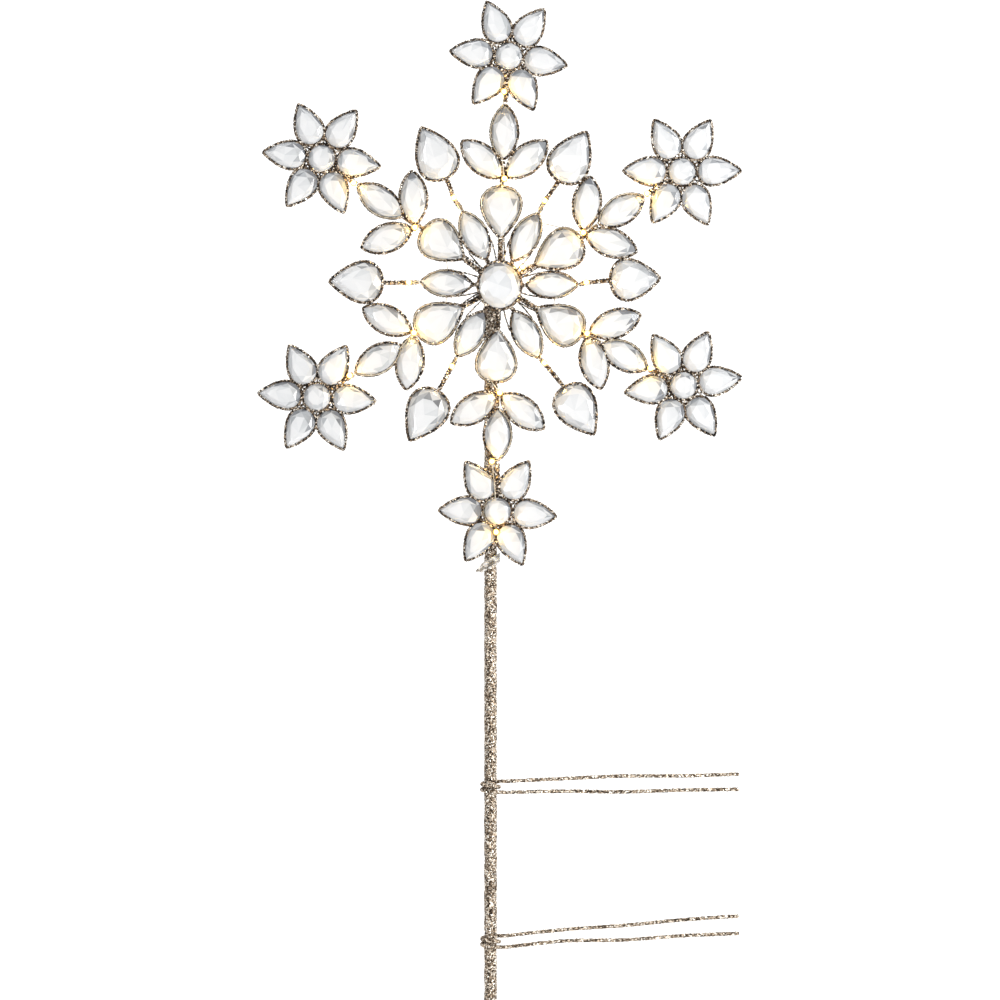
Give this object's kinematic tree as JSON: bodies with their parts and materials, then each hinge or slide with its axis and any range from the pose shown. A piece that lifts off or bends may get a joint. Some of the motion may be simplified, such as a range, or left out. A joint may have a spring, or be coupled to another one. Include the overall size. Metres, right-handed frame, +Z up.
{
  "type": "lighted snowflake stake",
  "caption": "Lighted jewelled snowflake of clear faceted stones in glittered wire bezels, on a long straight stem with wire ties that bend round a branch or trunk.",
  "frame": {"origin": "centre of the stem's flat lower end, on the stem's axis", "axes": "+Z up the stem to the top flower, +X to the right as seen from the front, -Y to the front of the jewels"},
  "size_m": [0.3479, 0.0257, 0.7618],
  "materials": {
    "glitter_wire": "champagne brown glitter over wire",
    "glitter_stem": "champagne brown glitter over a wrapped wire stem",
    "clear_jewel": "clear faceted acrylic with a silvered back",
    "lamp_string": "warm white lamp beads on fine wire",
    "clear_strap": "clear ribbed nylon"
  },
  "bodies": {
    "root": {"stem": "glitter_stem", "centre_bezel": "glitter_wire", "centre_jewel": "clear_jewel", "arm_frame_upper_right": "glitter_wire", "inner_pear_jewel_upper_right": "clear_jewel", "arm_marquise_jewels_upper_right": "clear_jewel", "flower_frame_upper_right": "glitter_wire", "flower_jewels_upper_right": "clear_jewel", "arm_frame_top": "glitter_wire", "inner_pear_jewel_top": "clear_jewel", "arm_marquise_jewels_top": "clear_jewel", "flower_frame_top": "glitter_wire", "flower_jewels_top": "clear_jewel", "arm_frame_upper_left": "glitter_wire", "inner_pear_jewel_upper_left": "clear_jewel", "arm_marquise_jewels_upper_left": "clear_jewel", "flower_frame_upper_left": "glitter_wire", "flower_jewels_upper_left": "clear_jewel", "arm_frame_lower_left": "glitter_wire", "inner_pear_jewel_lower_left": "clear_jewel", "arm_marquise_jewels_lower_left": "clear_jewel", "flower_frame_lower_left": "glitter_wire", "flower_jewels_lower_left": "clear_jewel", "arm_frame_bottom": "glitter_wire", "inner_pear_jewel_bottom": "clear_jewel", "arm_marquise_jewels_bottom": "clear_jewel", "flower_frame_bottom": "glitter_wire", "flower_jewels_bottom": "clear_jewel", "arm_frame_lower_right": "glitter_wire", "inner_pear_jewel_lower_right": "clear_jewel", "arm_marquise_jewels_lower_right": "clear_jewel", "flower_frame_lower_right": "glitter_wire", "flower_jewels_lower_right": "clear_jewel", "spoke_frame_right": "glitter_wire", "inner_marquise_jewel_right": "clear_jewel", "outer_pear_jewel_right": "clear_jewel", "spoke_frame_right_upper": "glitter_wire", "inner_marquise_jewel_right_upper": "clear_jewel", "outer_pear_jewel_right_upper": "clear_jewel", "spoke_frame_left_upper": "glitter_wire", "inner_marquise_jewel_left_upper": "clear_jewel", "outer_pear_jewel_left_upper": "clear_jewel", "spoke_frame_left": "glitter_wire", "inner_marquise_jewel_left": "clear_jewel", "outer_pear_jewel_left": "clear_jewel", "spoke_frame_left_lower": "glitter_wire", "inner_marquise_jewel_left_lower": "clear_jewel", "outer_pear_jewel_left_lower": "clear_jewel", "spoke_frame_right_lower": "glitter_wire", "inner_marquise_jewel_right_lower": "clear_jewel", "outer_pear_jewel_right_lower": "clear_jewel", "lamp_string": "lamp_string", "cable_tie": "clear_strap", "tie_coil_upper": "glitter_wire", "tie_coil_lower": "glitter_wire"},
    "tie_upper_a": {"tie_strand_upper_a": "glitter_wire"},
    "tie_upper_b": {"tie_strand_upper_b": "glitter_wire"},
    "tie_lower_a": {"tie_strand_lower_a": "glitter_wire"},
    "tie_lower_b": {"tie_strand_lower_b": "glitter_wire"}
  },
  "joints": [
    {"name": "bend_upper_a", "type": "hinge", "parent": "root", "child": "tie_upper_a", "pos_m": [0.0094, 0, 0.2024], "axis": [0, 0, 1], "range_deg": [-90, 90]},
    {"name": "bend_upper_b", "type": "hinge", "parent": "root", "child": "tie_upper_b", "pos_m": [0.0094, 0, 0.1944], "axis": [0, 0, 1], "range_deg": [-90, 90]},
    {"name": "bend_lower_a", "type": "hinge", "parent": "root", "child": "tie_lower_a", "pos_m": [0.0094, 0, 0.0915], "axis": [0, 0, 1], "range_deg": [-90, 90]},
    {"name": "bend_lower_b", "type": "hinge", "parent": "root", "child": "tie_lower_b", "pos_m": [0.0094, 0, 0.0833], "axis": [0, 0, 1], "range_deg": [-90, 90]}
  ]
}
